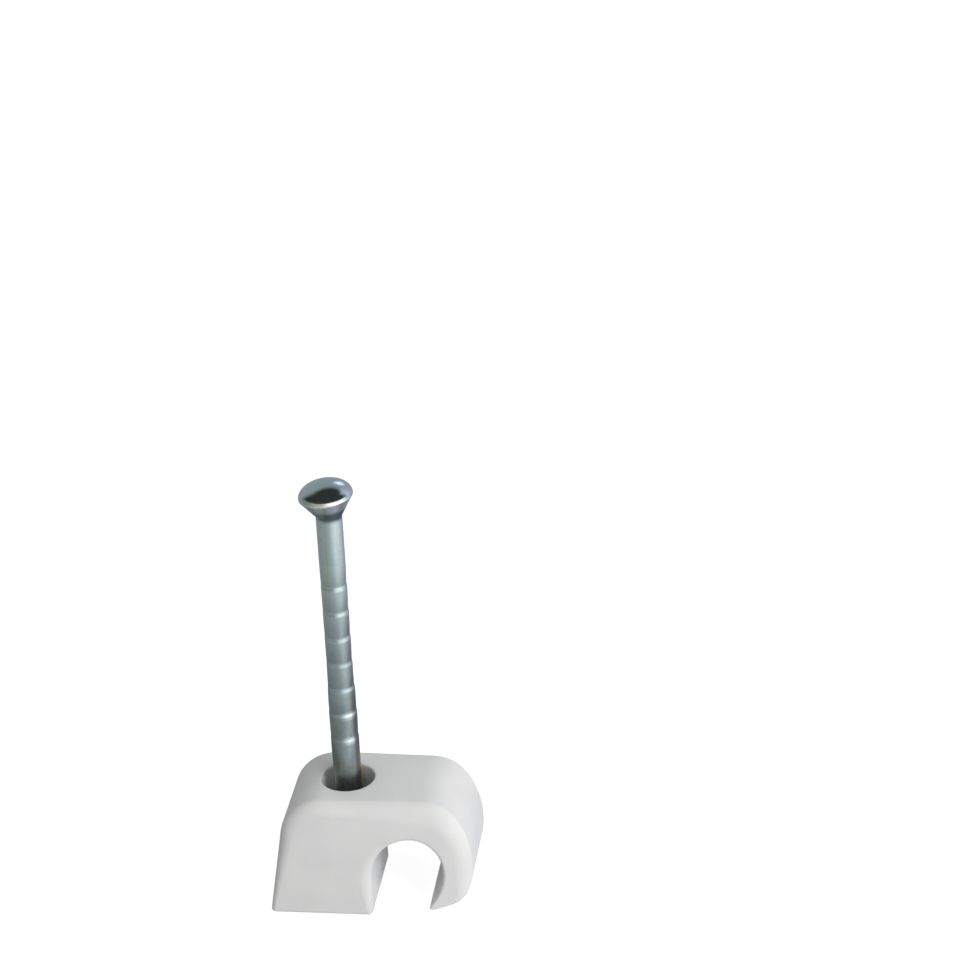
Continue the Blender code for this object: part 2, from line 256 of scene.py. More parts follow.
# Painted shade on the hook's side of the lower shank
LOWER_SHANK_SHADE_SHARE = 0.85
LOWER_SHANK_SHADE_TOP = (BODY_HEIGHT + 0.0025, BODY_HEIGHT + 0.0105)
LOWER_SHANK_SHADE_SIDE = (0.72, 0.90)
SEATED_SHARE = 0.75
SEATED_TOP = (BODY_HEIGHT + 0.0018, BODY_HEIGHT + 0.0043)
SEATED_SLANT = 2.2

# Painted highlights on the rim and the cone
ZINC_HEAD_HIGHLIGHT = (0.90, 0.88, 0.78, 1.0)
ZINC_HEAD_HIGHLIGHT_SHARE = 0.85
RIM_REACH = (HEAD_RADIUS - 0.00013, HEAD_RADIUS - 0.00005)
RIM_FACING = (-0.05, 0.5)
RIM_PITTED_RANGE = (0.30, 0.60)
RIM_PITTED_LEAST = 0.6
CONE_FROM = (CONE_BOTTOM + 0.0006, CONE_BOTTOM + 0.0011)
CONE_TO = (RIM_TOP, RIM_TOP + 0.0002)
CONE_SIDE = (0.62, 0.92)

# Studio: levels are shares of white
WHITE = (1.0, 1.0, 1.0, 1.0)
TARGET = Vector((0.0, 0.0, 0.008))
KEY_DIRECTION = Vector((0.69, -0.62, 0.375))
KEY_DISTANCE = 0.2
KEY_SIZE = (0.105, 0.105)
KEY_LEVEL = 0.76
FLOOR_REACH = 3.0
FLOOR_BELOW = 0.00002
FLOOR_ALBEDO = 0.42
FLOOR_GLOW = 0.84
FLOOR_UNDER_NAIL = (HOLE_RADIUS + 0.0003, HOLE_RADIUS + 0.0008)
WORLD_FILL = 0.475

# The surroundings as metal mirrors them: bearing in degrees from -Y towards +X, level and tint
MIRRORED_LEVEL = 1.18
MIRRORED = (
    (-180.0, 0.37, (0.84, 0.97, 1.12)),
    (-100.0, 0.41, (0.92, 1.0, 0.98)),
    (-60.0, 0.46, (0.92, 1.0, 0.98)),
    (-30.0, 0.53, (0.93, 1.0, 0.99)),
    (-5.0, 0.62, (0.95, 1.0, 1.0)),
    (20.0, 0.70, (0.95, 1.0, 1.02)),
    (46.0, 1.10, (0.88, 0.99, 1.20)),
    (80.0, 1.22, (0.85, 0.96, 1.26)),
    (107.0, 0.94, (0.90, 0.95, 1.34)),
    (140.0, 0.50, (1.00, 0.97, 1.14)),
    (180.0, 0.37, (0.86, 0.97, 1.14)),
)

# World: the height of a direction at which the mirrored band ends, and cosines off lamp and window
BAND_TOP_IN_FRONT = (0.14, 0.38)
BAND_LEVEL_IN_FRONT = 0.66
BAND_TOP_BEHIND = (0.72, 0.90)
BEHIND = (0.0, 0.5)
MIRRORED_OVERHEAD = 0.055
OVERHEAD_COLOUR = (0.90, 0.96, 1.0, 1.0)
MIRRORED_LAMP_DIRECTION = Vector((0.754, -0.633, 0.174))
MIRRORED_LAMP_EDGE = (0.55, 0.95)
MIRRORED_LAMP_LEVEL = 1.5
MIRRORED_LAMP_ON_FLOOR = 1.1
MIRRORED_WINDOW_DIRECTION = Vector((0.10, 0.87, 0.48))
MIRRORED_WINDOW_EDGE = (0.980, 0.997)
MIRRORED_WINDOW_COLOUR = (0.90, 1.26, 1.75, 1.0)

# Floor: distances from the clip and bearings over which the mirrored level eases
FLOOR_NEAR = (0.032, 0.054)
FLOOR_NEAR_LEVEL = 0.56
FLOOR_RIGHT_FROM = (math.radians(65.0), math.radians(100.0))
FLOOR_RIGHT_TO = (math.radians(125.0), math.radians(165.0))
FLOOR_RIGHT_NEAR = (0.036, 0.060)
FLOOR_RIGHT_SHADE = 0.42
FLOOR_UNDER_HEAD = (0.014, 0.024)
FLOOR_UNDER_HEAD_LEVEL = 0.3
FLOOR_FAR = (0.075, 0.13)
FLOOR_FAR_SHADE = 0.28
FLOOR_FRONT = (-0.03, 0.03)
FLOOR_LAMP = (0.06, 0.11)

# Camera, fitted to the photograph
CAMERA_LOCATION = Vector((0.0344675, -0.17773, 0.120822))
CAMERA_YAW = math.radians(-8.013)
CAMERA_PITCH = math.radians(25.356)
CAMERA_ROLL = math.radians(2.627)
CAMERA_LENS = 101.54
CAMERA_SENSOR = 36.0
CAMERA_CLIP = (0.01, 20.0)


def elliptic_arc(centre, radii, start, end, step):
    """Points on an ellipse's arc, both ends included."""
    count = max(1, math.ceil(abs(end - start) / step - COUNT_SLACK))
    points = []
    for i in range(count + 1):
        angle = start + (end - start) * i / count
        points.append((centre[0] + radii[0] * math.cos(angle), centre[1] + radii[1] * math.sin(angle)))
    return points


def arc(centre, radius, start, end, step):
    return elliptic_arc(centre, (radius, radius), start, end, step)


def line(start, end, step):
    """Evenly spaced points from start to end, both included."""
    count = max(1, round(math.dist(start, end) / step))
    points = []
    for i in range(count + 1):
        t = i / count
        points.append((start[0] + (end[0] - start[0]) * t, start[1] + (end[1] - start[1]) * t))
    return points


def ease(t):
    t = min(1.0, max(0.0, t))
    return t * t * (3.0 - 2.0 * t)


def hook_inside(channel_side, beak_centre):
    """The hook's inner face and the beak's round, from the channel's side down to the beak's underside."""
    across = beak_centre[0] - channel_side
    drop = CHANNEL_WAIST_HEIGHT - beak_centre[1]
    radius = (across**2 + drop**2 - BEAK_RADIUS**2) / (2 * (BEAK_RADIUS - across))
    centre = (channel_side - radius, CHANNEL_WAIST_HEIGHT)
    meeting = math.atan2(beak_centre[1] - centre[1], beak_centre[0] - centre[0])
    face = arc(centre, radius, RIGHT, meeting, ARC_STEP)
    beak = arc(beak_centre, BEAK_RADIUS, meeting + LEFT, DOWN + UNDERSIDE_SLOPE, CORNER_ARC_STEP)
    return face, beak


def hook_outside(hook_side, beak_end):
    """The sloping underside, the round corner and the bowed outer side, from the beak up to the waist."""
    along = Vector((math.cos(UNDERSIDE_SLOPE), math.sin(UNDERSIDE_SLOPE)))
    inwards = Vector((-along.y, along.x))
    side_centre = Vector((hook_side - HOOK_SIDE_RADIUS, WAIST_HEIGHT))
    start = Vector(beak_end) + inwards * HOOK_CORNER_RADIUS
    offset = start - side_centre
    advance = offset.dot(along)
    centre_gap = HOOK_SIDE_RADIUS - HOOK_CORNER_RADIUS
    run = math.sqrt(advance**2 - offset.length_squared + centre_gap**2) - advance
    corner_centre = start + along * run
    meeting = TURN + math.atan2(corner_centre.y - side_centre.y, corner_centre.x - side_centre.x)
    corner = arc(corner_centre, HOOK_CORNER_RADIUS, DOWN + UNDERSIDE_SLOPE, meeting, ARC_STEP)
    side = arc(side_centre, HOOK_SIDE_RADIUS, meeting, TURN, ARC_STEP / 2)
    return line(beak_end, corner[0], STRAIGHT_STEP) + corner[1:] + side[1:]


def drafted_centre(radius, z):
    """The centre, at height z, of an arc that touches the body's drafted side from inside."""
    return (radius / math.cos(SIDE_DRAFT) + z * math.tan(SIDE_DRAFT), z)


def eased_into_crown(points, crown_start):
    """Lowers the outline a little, so that the flat top's curvature grows evenly into the crown's."""
    radius = CROWN_REACH**2 / (BODY_HEIGHT - WAIST_HEIGHT)
    eased = []
    for x, z in points:
        t = min(1.0, max(-1.0, (x - crown_start) / CROWN_BLEND))
        drop = CROWN_BLEND**2 / radius * ((t + 1.0) ** 3 / 12.0 - max(0.0, t) ** 2 / 2.0)
        eased.append((x, z - drop * (z - WAIST_HEIGHT) / (BODY_HEIGHT - WAIST_HEIGHT)))
    return eased


def with_edges(points, at_start, at_end):
    """The points of a stretch, less its last, with a rounding that eases from start to end."""
    run = [0.0]
    for before, after in zip(points, points[1:]):
        run.append(run[-1] + math.dist(before, after))
    stretch = []
    for (x, z), covered in zip(points[:-1], run):
        share = ease(covered / run[-1])
        depth = at_start[0] + (at_end[0] - at_start[0]) * share
        reach = at_start[1] + (at_end[1] - at_start[1]) * share
        stretch.append((x, z, depth, reach))
    return stretch


def body_outline():
    """The clip seen from the front, anticlockwise, as (x, z, rounding's depth, rounding's reach).

    X is from the foot's side. The foot goes on past the wall plane, so that the roundings of its
    upright edges reach the cut there.
    """
    toe_centre = (FOOT_WIDTH - OVERRUN_RADIUS, OVERRUN_RADIUS - FOOT_OVERRUN)
    toe = arc(toe_centre, OVERRUN_RADIUS, DOWN, TURN, CORNER_ARC_STEP)
    toe_at_wall = (FOOT_WIDTH, 0.0)
    apex_x = FOOT_WIDTH + ARCH_APEX_REACH
    rise = (ARCH_APEX_REACH, CHANNEL_HEIGHT - ARCH_START_HEIGHT)
    arch_rise = elliptic_arc((apex_x, ARCH_START_HEIGHT), rise, LEFT, UP, ARC_STEP)
    channel_side = FOOT_WIDTH + CHANNEL_WIDTH
    fall = (channel_side - apex_x, CHANNEL_HEIGHT - CHANNEL_WAIST_HEIGHT)
    arch_fall = elliptic_arc((apex_x, CHANNEL_WAIST_HEIGHT), fall, UP, RIGHT, ARC_STEP)

    beak_centre = (FOOT_WIDTH + MOUTH_WIDTH + BEAK_RADIUS, BEAK_HEIGHT + BEAK_RADIUS)
    inner_face, beak_round = hook_inside(channel_side, beak_centre)
    hook_side = channel_side + HOOK_WALL
    outer_face = hook_outside(hook_side, beak_round[-1])
    crown_centre = (hook_side - CROWN_REACH, WAIST_HEIGHT)
    crown = elliptic_arc(crown_centre, (CROWN_REACH, BODY_HEIGHT - WAIST_HEIGHT), RIGHT, UP, ARC_STEP)

    side_angle = LEFT - SIDE_DRAFT
    shoulder_centre = drafted_centre(SHOULDER_RADIUS, BODY_HEIGHT - SHOULDER_RADIUS)
    shoulder = arc(shoulder_centre, SHOULDER_RADIUS, UP, side_angle, ARC_STEP)
    roof = eased_into_crown(line(crown[-1], shoulder[0], STRAIGHT_STEP / 2), crown_centre[0])
    crown = eased_into_crown(crown, crown_centre[0])
    heel_at_wall = (0.0, 0.0)
    heel_centre = drafted_centre(OVERRUN_RADIUS, OVERRUN_RADIUS - FOOT_OVERRUN)
    heel = arc(heel_centre, OVERRUN_RADIUS, side_angle, DOWN, CORNER_ARC_STEP)

    return (
        with_edges(line(heel[-1], toe[0], STRAIGHT_STEP), HEEL_EDGE, TOE_EDGE)
        + with_edges(toe, TOE_EDGE, TOE_EDGE)
        + with_edges(line(toe[-1], toe_at_wall, STRAIGHT_STEP), TOE_EDGE, TOE_EDGE)
        + with_edges(line(toe_at_wall, arch_rise[0], STRAIGHT_STEP), TOE_EDGE, ARCH_START_EDGE)
        + with_edges(arch_rise, ARCH_START_EDGE, CHANNEL_EDGE)
        + with_edges(arch_fall, CHANNEL_EDGE, CHANNEL_EDGE)
        + with_edges(inner_face, CHANNEL_EDGE, BEAK_EDGE)
        + with_edges(beak_round, BEAK_EDGE, BEAK_EDGE)
        + with_edges(outer_face, BEAK_EDGE, HOOK_EDGE)
        + with_edges(crown, HOOK_EDGE, CROWN_EDGE)
        + with_edges(roof, CROWN_EDGE, SHOULDER_EDGE)
        + with_edges(shoulder, SHOULDER_EDGE, SHOULDER_EDGE)
        + with_edges(line(shoulder[-1], heel_at_wall, STRAIGHT_STEP), SHOULDER_EDGE, HEEL_EDGE)
        + with_edges(line(heel_at_wall, heel[0], STRAIGHT_STEP), HEEL_EDGE, HEEL_EDGE)
        + with_edges(heel, HEEL_EDGE, HEEL_EDGE)
    )


def inward_mitres(outline):
    """For each outline point, the step that moves both of its edges inwards by one unit."""
    mitres = []
    count = len(outline)
    for i in range(count):
        here = Vector(outline[i][:2])
        before = (here - Vector(outline[i - 1][:2])).normalized()
        after = (Vector(outline[(i + 1) % count][:2]) - here).normalized()
        normal_before = Vector((-before.y, before.x))
        normal_after = Vector((-after.y, after.x))
        mitres.append((normal_before + normal_after) / (1.0 + normal_before.dot(normal_after)))
    return mitres


def body_mesh(outline):
    """The outline drawn through the depth, with a rounding of varying size round both end faces."""
    mitres = inward_mitres(outline)
    bm = bmesh.new()
    rings = []
    for side, steps in ((-1.0, range(EDGE_STEPS, -1, -1)), (1.0, range(EDGE_STEPS + 1))):
        for k in steps:
            angle = math.pi / 2 * k / EDGE_STEPS
            ring = []
            for (x, z, depth, reach), mitre in zip(outline, mitres):
                inset = reach * (1.0 - math.cos(angle))
                y = side * (BODY_DEPTH / 2 - depth * (1.0 - math.sin(angle)))
                ring.append(bm.verts.new((x + mitre.x * inset, y, z + mitre.y * inset)))
            rings.append(ring)
    for front, back in zip(rings, rings[1:]):
        for i in range(len(outline)):
            j = (i + 1) % len(outline)
            bm.faces.new((front[j], front[i], back[i], back[j]))
    bm.faces.new(rings[0])
    bm.faces.new(reversed(rings[-1]))
    bmesh.ops.recalc_face_normals(bm, faces=bm.faces)
    return bm


def cut_at_wall(bm):
    """Cuts off what lies past the wall plane and rounds the edge of the cut."""
    everything = bm.verts[:] + bm.edges[:] + bm.faces[:]
    cut = bmesh.ops.bisect_plane(
        bm, geom=everything, dist=CUT_TOLERANCE, plane_no=(0.0, 0.0, -1.0), clear_outer=True
    )
    rim = [piece for piece in cut["geom_cut"] if isinstance(piece, bmesh.types.BMEdge)]
    bmesh.ops.edgeloop_fill(bm, edges=rim)
    bmesh.ops.bevel(
        bm,
        geom=rim,
        offset=BASE_EDGE,
        offset_type="OFFSET",
        segments=BASE_EDGE_STEPS,
        profile=0.5,
        affect="EDGES",
    )


def lathe(profile, axis_x, segments, depth=None):
    """A closed solid turned about an upright axis; depth(z, angle) is taken off the radius."""
    bm = bmesh.new()
    rings = []
    for radius, z in profile:
        ring = []
        for k in range(segments):
            angle = TURN * k / segments
            r = radius - (depth(z, angle) if depth else 0.0)
            ring.append(bm.verts.new((axis_x + r * math.cos(angle), r * math.sin(angle), z)))
        rings.append(ring)
    for low, high in zip(rings, rings[1:]):
        for i in range(segments):
            j = (i + 1) % segments
            bm.faces.new((low[i], low[j], high[j], high[i]))
    bm.faces.new(reversed(rings[0]))
    bm.faces.new(rings[-1])
    return bm


def hole_profile():
    """The nail hole: exit chamfer, close bore for the shank, conical seat, counterbore, rounded lip."""
    seat_top = BODY_HEIGHT - COUNTERBORE_DEPTH
    profile = [
        (HOLE_RADIUS + HOLE_EXIT_CHAMFER, -CUTTER_OVERRUN),
        (HOLE_RADIUS + HOLE_EXIT_CHAMFER, 0.0),
        (HOLE_RADIUS, HOLE_EXIT_CHAMFER),
        (HOLE_RADIUS, seat_top - SEAT_HEIGHT),
        (COUNTERBORE_RADIUS, seat_top),
    ]
    lip_centre = (COUNTERBORE_RADIUS + HOLE_LIP_ROUND, BODY_HEIGHT - HOLE_LIP_ROUND)
    profile += arc(lip_centre, HOLE_LIP_ROUND, LEFT, UP, (LEFT - UP) / LATHE_ARC_STEPS)
    profile.append((lip_centre[0], BODY_HEIGHT + CUTTER_OVERRUN))
    return profile


def ring_depth(z, angle):
    """How far the shank is drawn in: a ledge on top of each ring, then a slow taper back out above it.

    The swelling of the rolled stretch is taken off this.
    """
    swollen = ease((SWELL_TOP - z) / (SWELL_TOP - SWELL_FULL)) * ease((z - SWELL_END) / SWELL_FADE)
    depth = -SWELL * swollen
    facing = math.cos(angle) * LIT_SIDE[0] + math.sin(angle) * LIT_SIDE[1]
    bite = RING_BITE + RING_BITE_ON_LIT_SIDE * facing
    for i in range(RING_COUNT):
        wander = RING_WANDER * math.sin(angle + RING_WANDER_TURN * i)
        above = z - (FIRST_RING + i * RING_PITCH + RING_LEDGE_HEIGHT / 3) - wander
        taper = max(0.0, 1.0 - above / RING_PITCH)
        depth += RING_DEPTH * bite * ease(above / RING_LEDGE_HEIGHT + 0.5) * taper**2
    return depth


def nail_profile():
    """Point, shank, neck fillet, cone under the head, rounded rim and dome."""
    cone_angle = math.atan((HEAD_RADIUS - SHANK_RADIUS) / UNDERHEAD_HEIGHT)
    tip = (POINT_FLAT_RADIUS, TIP_ABOVE_BASE)
    profile = line(tip, (SHANK_RADIUS, TIP_ABOVE_BASE + POINT_LENGTH), STRAIGHT_STEP)
    tangent_run = NECK_FILLET * math.tan(cone_angle / 2)
    neck_centre = (SHANK_RADIUS + NECK_FILLET, CONE_BOTTOM - tangent_run)
    profile += line(profile[-1], (SHANK_RADIUS, neck_centre[1]), SHANK_STEP)[1:]
    profile += arc(neck_centre, NECK_FILLET, LEFT, LEFT - cone_angle, cone_angle / LATHE_ARC_STEPS)[1:]

    rim_centre = (HEAD_RADIUS - RIM_ROUND, RIM_BOTTOM + RIM_ROUND)
    profile += arc(rim_centre, RIM_ROUND, -cone_angle, RIGHT, ARC_STEP * 3)
    dome = elliptic_arc((0.0, RIM_TOP), (HEAD_RADIUS, DOME_BULGE), RIGHT, UP, UP / DOME_STEPS)
    return profile + dome[:-1]


def tilt_head(bm, axis_x, highest):
    """The struck head sits a little askew on the shank, and no higher than the height given."""
    neck = CONE_BOTTOM - NECK_FILLET
    pivot = Vector((axis_x, 0.0, RIM_TOP - UNDERHEAD_HEIGHT))
    for vert in bm.verts:
        share = ease((vert.co.z - neck) / (RIM_TOP - neck))
        if share > 0.0:
            turn = Matrix.Rotation(-HEAD_TILT * share, 3, "Y")
            vert.co = pivot + turn @ (vert.co - pivot)
    excess = max(0.0, max(vert.co.z for vert in bm.verts) - highest)
    for vert in bm.verts:
        vert.co.z -= excess * ease((vert.co.z - neck) / (RIM_TOP - neck))


def new_object(name, data):
    made = bpy.data.objects.new(name, data)
    bpy.context.scene.collection.objects.link(made)
    return made


def mesh_object(name, bm, *materials):
    mesh = bpy.data.meshes.new(name)
    bmesh.ops.recalc_face_normals(bm, faces=bm.faces)
    bm.to_mesh(mesh)
    bm.free()
    for material in materials:
        mesh.materials.append(material)
    return new_object(name, mesh)


def finish_mesh(obj):
    """Smooth shading in which the large flat faces stay flat, with the modifiers applied."""
    weighted = obj.modifiers.new("weighted_normal", "WEIGHTED_NORMAL")
    weighted.mode = "FACE_AREA"
    weighted.keep_sharp = True
    obj.data.shade_smooth()
    obj.data.set_sharp_from_angle(angle=SMOOTH_ANGLE)
    done = bpy.data.meshes.new_from_object(obj.evaluated_get(bpy.context.evaluated_depsgraph_get()))
    obj.modifiers.clear()
    obj.data = done


class Nodes:
    """Short hand for building a node tree."""

    def __init__(self, tree):
        self.tree = tree

    def add(self, kind, **settings):
        node = self.tree.nodes.new(kind)
        for name, value in settings.items():
            setattr(node, name, value)
        return node

    def link(self, source, target):
        self.tree.links.new(source, target)

    def value(self, socket, value):
        if isinstance(value, bpy.types.NodeSocket):
            self.link(value, socket)
        else:
            socket.default_value = value

    def coordinates(self, kind):
        return self.add("ShaderNodeTexCoord").outputs[kind]

    def split(self, vector):
        node = self.add("ShaderNodeSeparateXYZ")
        self.link(vector, node.inputs["Vector"])
        return node.outputs["X"], node.outputs["Y"], node.outputs["Z"]

    def noise(self, vector, scale, detail, roughness, distortion=0.0):
        """Noise of one scale, or of one for each axis."""
        if isinstance(scale, tuple):
            mapping = self.add("ShaderNodeMapping")
            self.link(vector, mapping.inputs["Vector"])
            mapping.inputs["Scale"].default_value = scale
            vector, scale = mapping.outputs["Vector"], 1.0
        node = self.add("ShaderNodeTexNoise")
        self.link(vector, node.inputs["Vector"])
        node.inputs["Scale"].default_value = scale
        node.inputs["Detail"].default_value = detail
        node.inputs["Roughness"].default_value = roughness
        node.inputs["Distortion"].default_value = distortion
        return node.outputs["Fac"]

    def math(self, operation, a, b=0.0):
        node = self.add("ShaderNodeMath", operation=operation)
        self.value(node.inputs[0], a)
        self.value(node.inputs[1], b)
        return node.outputs["Value"]

    def product(self, first, *others):
        for other in others:
            first = self.math("MULTIPLY", first, other)
        return first

    def vector_math(self, operation, a, b=None):
        """The number that the operation gives, or the vector where it is NORMALIZE."""
        node = self.add("ShaderNodeVectorMath", operation=operation)
        self.link(a, node.inputs[0])
        if b is not None:
            node.inputs[1].default_value = b
        return node.outputs["Vector" if operation == "NORMALIZE" else "Value"]

    def spread(self, value, low, high, to_low=0.0, to_high=1.0):
        """Eases from to_low to to_high while the value goes from low to high."""
        node = self.add("ShaderNodeMapRange", interpolation_type="SMOOTHSTEP")
        self.link(value, node.inputs["Value"])
        node.inputs["From Min"].default_value = low
        node.inputs["From Max"].default_value = high
        node.inputs["To Min"].default_value = to_low
        node.inputs["To Max"].default_value = to_high
        return node.outputs["Result"]

    def fade(self, value, low, high, level=1.0):
        """Eases from the level down to nothing while the value goes from low to high."""
        return self.spread(value, low, high, level, 0.0)

    def between(self, value, rise, fall):
        return self.product(self.spread(value, *rise), self.fade(value, *fall))

    def mix(self, factor, a, b):
        node = self.add("ShaderNodeMix", data_type="RGBA")
        self.value(node.inputs["Factor"], factor)
        self.value(node.inputs["A"], a)
        self.value(node.inputs["B"], b)
        return node.outputs["Result"]

    def tint(self, base, colour, *shares):
        """The base with as much of the colour mixed in as the product of the shares."""
        return self.mix(self.product(*shares), base, colour)

    def bump(self, height, distance, strength, normal=None):
        node = self.add("ShaderNodeBump")
        self.link(height, node.inputs["Height"])
        node.inputs["Distance"].default_value = distance
        node.inputs["Strength"].default_value = strength
        if normal is not None:
            self.link(normal, node.inputs["Normal"])
        return node.outputs["Normal"]

    def shader(self, kind, **inputs):
        node = self.add(kind)
        for name, value in inputs.items():
            self.value(node.inputs[name], value)
        return node.outputs[0]

    def add_shaders(self, a, b):
        node = self.add("ShaderNodeAddShader")
        self.link(a, node.inputs[0])
        self.link(b, node.inputs[1])
        return node.outputs[0]

    def choose(self, factor, otherwise, chosen):
        node = self.add("ShaderNodeMixShader")
        for source, socket in zip((factor, otherwise, chosen), node.inputs):
            self.link(source, socket)
        return node.outputs[0]


def new_material(name):
    material = bpy.data.materials.new(name)
    material.use_nodes = True
    nodes = Nodes(material.node_tree)
    return material, nodes, material.node_tree.nodes["Principled BSDF"]


def around_nail(nodes, x, y, nail_x):
    """The way from the nail's axis along X, and the distance from the axis."""
    from_axis = nodes.math("SUBTRACT", x, nail_x)
    squares = nodes.math(
        "ADD", nodes.math("MULTIPLY", from_axis, from_axis), nodes.math("POWER", y, 2.0)
    )
    return from_axis, nodes.math("SQRT", squares)


def towards(nodes, from_axis, y, direction):
    """How far a point lies from the nail's axis in a level direction."""
    return nodes.math(
        "ADD",
        nodes.math("MULTIPLY", from_axis, direction[0]),
        nodes.math("MULTIPLY", y, direction[1]),
    )


def plastic_material(nail_x):
    """Moulded light grey plastic: fine spark grain, a slow waviness, faint clouding and scuffs."""
    material, nodes, shader = new_material("clip_plastic_moulded")
    place = nodes.coordinates("Object")
    x, y, height = nodes.split(place)
    from_axis, radius = around_nail(nodes, x, y, nail_x)
    clouds = nodes.noise(place, *CLOUDS)
    specks = nodes.noise(place, *SPECKS)
    grain = nodes.noise(place, *GRAIN)
    waves = nodes.noise(place, *WAVES)
    scuffs = nodes.noise(place, *SCUFFS)

    base = nodes.mix(nodes.spread(clouds, *PLASTIC_RANGE), PLASTIC_DARK, PLASTIC_PALE)
    base = nodes.tint(base, SPECK, nodes.spread(specks, *SPECK_RANGE), SPECK_SHARE)

    # Painted shade darkens the plastic round and in the hole where the nail goes in, patchy with the
    # clouding
    hole_shade_patches = nodes.spread(clouds, *PAINTED_HOLE_SHADE_RANGE, PAINTED_HOLE_SHADE_LEAST, 1.0)
    base = nodes.tint(base, PAINTED_HOLE_SHADE, nodes.fade(radius, *PAINTED_HOLE_SHADE_REACH), hole_shade_patches, PAINTED_HOLE_SHADE_SHARE)

    # Painted light makes the hole's wall paler
    on_wall = nodes.fade(radius, *HOLE_WALL_PAINTED_LIGHT_REACH)
    base = nodes.tint(base, HOLE_WALL_PAINTED_LIGHT, on_wall, nodes.fade(height, *HOLE_WALL_PAINTED_LIGHT_TOP), HOLE_WALL_PAINTED_LIGHT_SHARE)

    # A thin streak of painted warm reflection runs down the hole's wall behind the nail, broken by specks
    along_trace = towards(nodes, from_axis, y, PAINTED_WARM_REFLECTION_DIRECTION)
    trace = nodes.spread(nodes.math("DIVIDE", along_trace, radius), *PAINTED_WARM_REFLECTION_EDGE)
    broken = nodes.spread(specks, *PAINTED_WARM_REFLECTION_RANGE, *PAINTED_WARM_REFLECTION_SHARES)
    on_reflecting_wall = nodes.product(nodes.fade(radius, *PAINTED_WARM_REFLECTION_REACH), nodes.spread(height, *PAINTED_WARM_REFLECTION_END))
    base = nodes.tint(base, PAINTED_WARM_REFLECTION, trace, broken, on_reflecting_wall)
    nodes.link(base, shader.inputs["Base Color"])

    rough = nodes.spread(grain, *GRAIN_RANGE, *PLASTIC_ROUGHNESS)
    polished = nodes.product(nodes.spread(scuffs, *SCUFF_RANGE), SCUFF_POLISH)
    nodes.link(nodes.math("SUBTRACT", rough, polished), shader.inputs["Roughness"])
    wavy = nodes.bump(waves, *WAVE_BUMP)
    nodes.link(nodes.bump(grain, *GRAIN_BUMP, wavy), shader.inputs["Normal"])
    for name, value in PLASTIC_SHADER.items():
        shader.inputs[name].default_value = value
    return material


